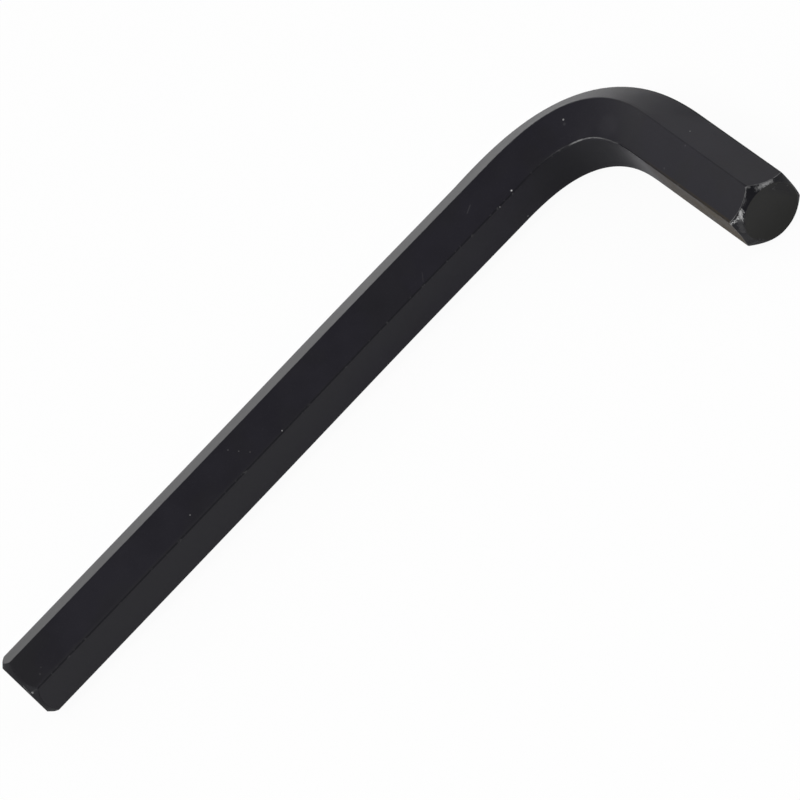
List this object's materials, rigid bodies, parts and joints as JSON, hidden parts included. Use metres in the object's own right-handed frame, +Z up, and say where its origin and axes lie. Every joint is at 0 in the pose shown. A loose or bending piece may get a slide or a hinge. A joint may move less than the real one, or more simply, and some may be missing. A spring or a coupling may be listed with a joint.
{
  "type": "hex key",
  "caption": "L-shaped hexagon key bent from one length of black-oxide steel bar, with a chamfered drive tip on each arm.",
  "frame": {"origin": "on the floor, below the middle of the rectangle that encloses the key as it lies", "axes": "+X along the long arm and +Y along the short arm, both towards the tips; +Z up, across two opposite corners of the bar"},
  "size_m": [0.122, 0.05, 0.0114],
  "materials": {
    "key_steel": "black oxide, satin"
  },
  "bodies": {
    "root": {"hex_key": "key_steel"}
  },
  "joints": []
}
